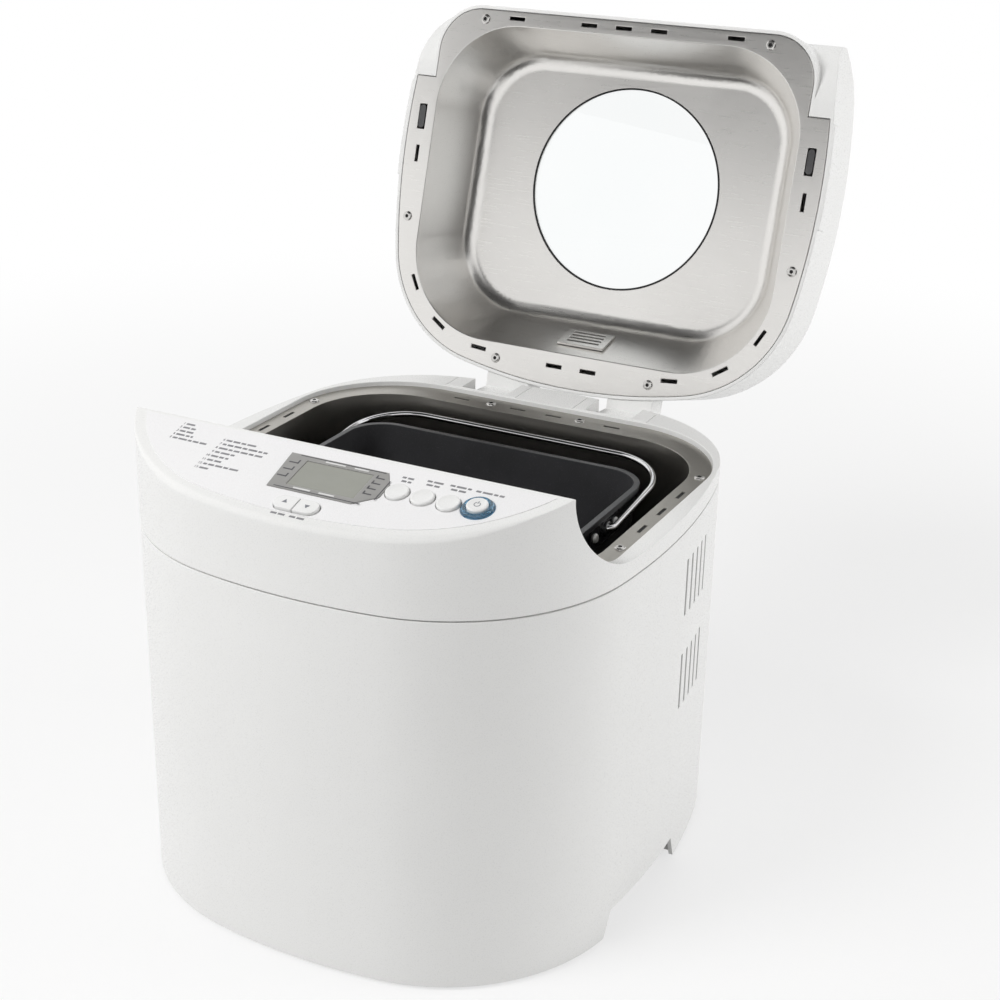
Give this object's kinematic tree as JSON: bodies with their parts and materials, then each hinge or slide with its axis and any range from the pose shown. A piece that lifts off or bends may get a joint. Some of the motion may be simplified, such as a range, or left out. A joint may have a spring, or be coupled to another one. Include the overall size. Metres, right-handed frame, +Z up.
{
  "type": "bread machine",
  "caption": "Bread machine with a domed white housing, sloped control panel, hinged steel-lined lid with round window, lift-out pan with bail handle, kneading paddle and belt drive.",
  "frame": {"origin": "on the worktop, under the middle of the whole machine with its lid open", "axes": "+X to the right seen from the front, +Y to the back, where the lid is hinged, +Z up"},
  "size_m": [0.3264, 0.4931, 0.501],
  "materials": {
    "white_shell": "glossy moulded white plastic",
    "base_plastic": "satin light grey plastic",
    "rubber": "matt black rubber",
    "overlay_film": "satin white printed film",
    "bezel_grey": "satin blue-grey plastic",
    "screen": "greenish grey liquid crystal panel",
    "button_white": "glossy light grey plastic",
    "ring_blue": "translucent blue plastic",
    "circuit_board": "green solder resist",
    "black_plastic": "matt black plastic",
    "screw_steel": "plated steel",
    "oven_steel": "drawn aluminised steel",
    "element_steel": "oxidised dark steel tube",
    "ceramic": "off-white ceramic",
    "pan_coating": "dark non-stick coating",
    "pan_metal": "cast aluminium",
    "bronze": "sintered bronze",
    "wire_chrome": "bright plated wire",
    "bracket_black": "glossy dark coating",
    "rivet_metal": "bright aluminium",
    "chassis_steel": "galvanised sheet",
    "shaft_steel": "ground steel",
    "motor_steel": "painted steel can",
    "core_steel": "varnished laminations",
    "capacitor_grey": "matt grey plastic can",
    "liner_steel": "brushed stainless steel",
    "window_glass": "clear tempered glass"
  },
  "bodies": {
    "housing": {"lower_housing": "white_shell", "top_housing": "white_shell", "base_plate": "base_plastic", "base_screws": "screw_steel", "rubber_feet": "rubber", "cord_inlet": "base_plastic", "control_overlay": "overlay_film", "display_bezel": "bezel_grey", "display_screen": "screen", "start_ring": "ring_blue", "control_board": "circuit_board", "key_switches": "black_plastic", "board_screws": "screw_steel", "oven_chamber": "oven_steel", "oven_screws": "screw_steel", "heating_element": "element_steel", "element_seals": "ceramic", "element_rests": "ceramic", "temperature_sensor": "shaft_steel", "pan_seat": "pan_metal", "drive_chassis": "chassis_steel", "chassis_screws": "screw_steel", "shaft_bearing": "bronze", "drive_belt": "rubber", "motor": "motor_steel", "power_board": "circuit_board", "transformer": "core_steel", "motor_capacitor": "capacitor_grey", "hinge_mounts": "white_shell"},
    "lid": {"lid_shell": "white_shell", "lid_liner": "liner_steel", "lid_window": "window_glass", "window_gasket": "rubber", "lid_screws": "screw_steel", "lid_vent": "liner_steel", "hinge_arms": "white_shell", "hinge_pins": "shaft_steel"},
    "pan": {"bread_pan": "pan_coating", "pan_foot": "pan_metal", "pan_bush": "bronze", "pan_seal": "rubber", "bail_brackets": "bracket_black", "bracket_rivets": "rivet_metal"},
    "pan_handle": {"bail_handle": "wire_chrome"},
    "pan_spindle": {"pan_shaft": "shaft_steel", "pan_coupling": "pan_metal"},
    "paddle": {"kneading_paddle": "pan_coating"},
    "drive": {"drive_shaft": "shaft_steel", "large_pulley": "black_plastic", "drive_coupling": "pan_metal"},
    "motor_rotor": {"motor_shaft": "shaft_steel", "small_pulley": "pan_metal", "motor_fan": "black_plastic"},
    "menu_button": {"menu_button": "button_white"},
    "size_button": {"size_button": "button_white"},
    "crust_button": {"crust_button": "button_white"},
    "start_button": {"start_button": "button_white"},
    "up_button": {"up_button": "button_white"},
    "down_button": {"down_button": "button_white"}
  },
  "joints": [
    {"name": "lid_hinge", "type": "hinge", "parent": "housing", "child": "lid", "pos_m": [0, 0.101, 0.238], "axis": [-1, 0, 0], "range_deg": [-106.68, 0]},
    {"name": "pan_lift", "type": "slide", "parent": "housing", "child": "pan", "axis": [0, 0, 1], "range_m": [0, 0.3]},
    {"name": "handle_swing", "type": "hinge", "parent": "pan", "child": "pan_handle", "pos_m": [0, -0.05, 0.23], "axis": [1, 0, 0], "range_deg": [0, 168]},
    {"name": "pan_shaft_spin", "type": "hinge", "parent": "pan", "child": "pan_spindle", "pos_m": [0, -0.05, 0.1], "axis": [0, 0, 1], "continuous": true},
    {"name": "paddle_lift", "type": "slide", "parent": "pan_spindle", "child": "paddle", "axis": [0, 0, 1], "range_m": [0, 0.16]},
    {"name": "drive_spin", "type": "hinge", "parent": "housing", "child": "drive", "pos_m": [0, -0.05, 0.05], "axis": [0, 0, 1], "continuous": true},
    {"name": "motor_spin", "type": "hinge", "parent": "housing", "child": "motor_rotor", "pos_m": [0, -0.201, 0.06], "axis": [0, 0, 1], "continuous": true},
    {"name": "menu_press", "type": "slide", "parent": "housing", "child": "menu_button", "axis": [0, 0.2588, -0.9659], "range_m": [0, 0.001], "stiffness_N_per_m": 400},
    {"name": "size_press", "type": "slide", "parent": "housing", "child": "size_button", "axis": [0, 0.2588, -0.9659], "range_m": [0, 0.001], "stiffness_N_per_m": 400},
    {"name": "crust_press", "type": "slide", "parent": "housing", "child": "crust_button", "axis": [0, 0.2588, -0.9659], "range_m": [0, 0.001], "stiffness_N_per_m": 400},
    {"name": "start_press", "type": "slide", "parent": "housing", "child": "start_button", "axis": [0, 0.2588, -0.9659], "range_m": [0, 0.001], "stiffness_N_per_m": 400},
    {"name": "up_press", "type": "slide", "parent": "housing", "child": "up_button", "axis": [0, 0.2588, -0.9659], "range_m": [0, 0.001], "stiffness_N_per_m": 400},
    {"name": "down_press", "type": "slide", "parent": "housing", "child": "down_button", "axis": [0, 0.2588, -0.9659], "range_m": [0, 0.001], "stiffness_N_per_m": 400}
  ],
  "couplings": [
    {"joint": "pan_shaft_spin", "follows": "drive_spin", "ratio": 1},
    {"joint": "motor_spin", "follows": "drive_spin", "ratio": 6.1111}
  ]
}
